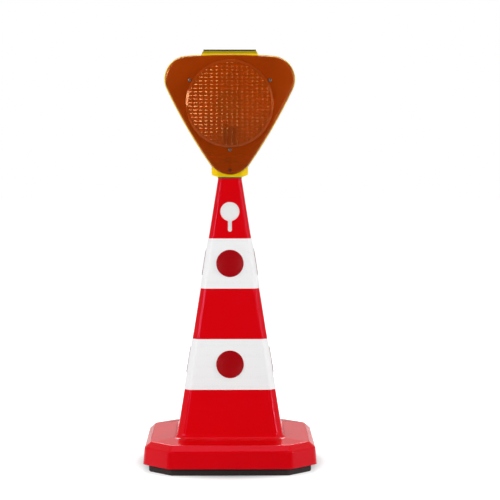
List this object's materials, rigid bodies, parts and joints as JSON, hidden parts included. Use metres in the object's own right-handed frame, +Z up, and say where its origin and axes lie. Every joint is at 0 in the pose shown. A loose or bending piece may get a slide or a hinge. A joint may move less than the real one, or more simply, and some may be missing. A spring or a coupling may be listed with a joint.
{
  "type": "traffic cone with warning light",
  "caption": "Hollow square road cone with white bands, round red reflectors and a rubber foot, with a plug-in triangular amber solar warning lamp that swivels.",
  "frame": {"origin": "on the ground under the cone's axis", "axes": "+Z up along the cone's axis, the front lens faces -Y, +X to the right seen from the front"},
  "size_m": [0.45, 0.45, 1.0928],
  "materials": {
    "red_plastic": "smooth moulded polyethylene",
    "white_plastic": "smooth moulded",
    "white_sheeting": "retroreflective sheeting",
    "reflector_red": "moulded prismatic",
    "black_rubber": "matt recycled rubber",
    "black_plastic": "satin moulded",
    "yellow_plastic": "smooth moulded",
    "amber_plastic": "clear tinted prismatic",
    "plated_steel": "zinc plated",
    "black_steel": "blackened",
    "solar_glass": "laminated panel",
    "circuit_board": "solder resist",
    "led_resin": "clear tinted resin",
    "cell_sleeve": "shrink sleeve",
    "button_rubber": "moulded rubber cap",
    "lead_sleeve": "sleeved wire"
  },
  "bodies": {
    "cone": {"cone_shell": "red_plastic", "lamp_socket": "white_plastic", "upper_band": "white_sheeting", "lower_band": "white_sheeting", "upper_reflector_front": "reflector_red", "upper_reflector_right": "reflector_red", "upper_reflector_rear": "reflector_red", "upper_reflector_left": "reflector_red", "lower_reflector_front": "reflector_red", "lower_reflector_right": "reflector_red", "lower_reflector_rear": "reflector_red", "lower_reflector_left": "reflector_red", "reflector_push_nuts": "plated_steel", "ballast_foot": "black_rubber", "foot_screws": "plated_steel"},
    "lamp_mount": {"spigot": "black_plastic", "swivel_washer": "plated_steel", "swivel_nut": "plated_steel"},
    "lamp_head": {"lamp_housing": "yellow_plastic", "front_lens": "amber_plastic", "rear_lens": "amber_plastic", "front_gasket": "black_rubber", "rear_gasket": "black_rubber", "front_lens_screws": "plated_steel", "rear_lens_screws": "plated_steel", "lens_lock_screws": "black_steel", "solar_panel": "solar_glass", "solar_seal": "black_rubber", "front_led_board": "circuit_board", "rear_led_board": "circuit_board", "front_leds": "led_resin", "rear_leds": "led_resin", "board_screws": "plated_steel", "battery_holder": "black_plastic", "battery_cells": "cell_sleeve", "control_board": "circuit_board", "control_parts": "black_plastic", "switch_body": "black_plastic", "switch_nut": "plated_steel", "solar_lead": "lead_sleeve", "rear_led_lead": "lead_sleeve", "front_led_lead": "lead_sleeve", "battery_lead": "lead_sleeve", "switch_lead": "lead_sleeve"},
    "power_button": {"switch_button": "button_rubber"}
  },
  "joints": [
    {"name": "lamp_lift", "type": "slide", "parent": "cone", "child": "lamp_mount", "axis": [0, 0, 1], "range_m": [0, 0.085]},
    {"name": "lamp_swivel", "type": "hinge", "parent": "lamp_mount", "child": "lamp_head", "pos_m": [0, 0, 0.777], "axis": [0, 0, 1], "continuous": true},
    {"name": "power_button_press", "type": "slide", "parent": "lamp_head", "child": "power_button", "axis": [-0.866, 0, 0.5], "range_m": [0, 0.002], "stiffness_N_per_m": 1500}
  ]
}
